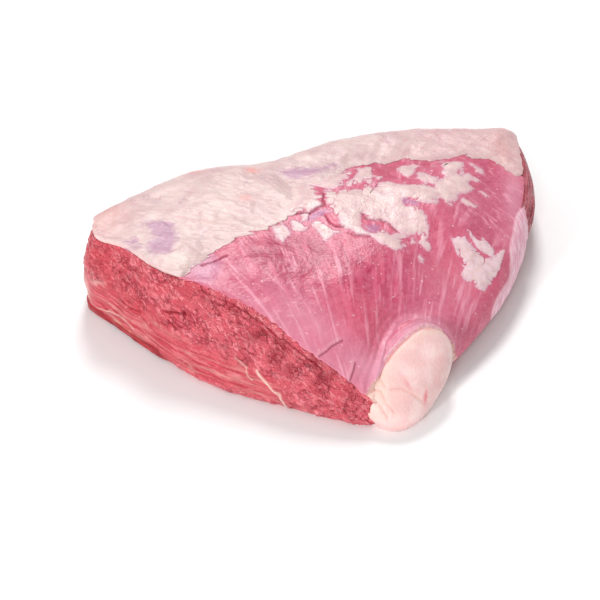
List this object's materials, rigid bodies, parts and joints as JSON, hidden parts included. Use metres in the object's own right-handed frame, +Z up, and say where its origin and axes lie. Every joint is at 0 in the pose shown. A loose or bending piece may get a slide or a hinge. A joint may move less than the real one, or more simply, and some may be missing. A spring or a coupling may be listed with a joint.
{
  "type": "raw veal roast",
  "caption": "Raw veal roast: a wedge-shaped piece of lean with a knife-cut front, a fat cap down its back, loose patches of fat on top and a fat pad at the tip.",
  "frame": {"origin": "middle of the bounding box, on the face that the roast lies on", "axes": "+X along the length, from the thick left end to the thin right end; +Y from the knife-cut front face to the back; +Z up"},
  "size_m": [0.2793, 0.2303, 0.0641],
  "materials": {
    "lean": "moist raw lean, pinkish red, with a thin pink skin over its top",
    "fat": "soft white fat with a faint pink cast, satin"
  },
  "bodies": {
    "root": {"lean": "lean", "fat_cap": "fat", "fat_knob": "fat", "flap": "lean"}
  },
  "joints": []
}
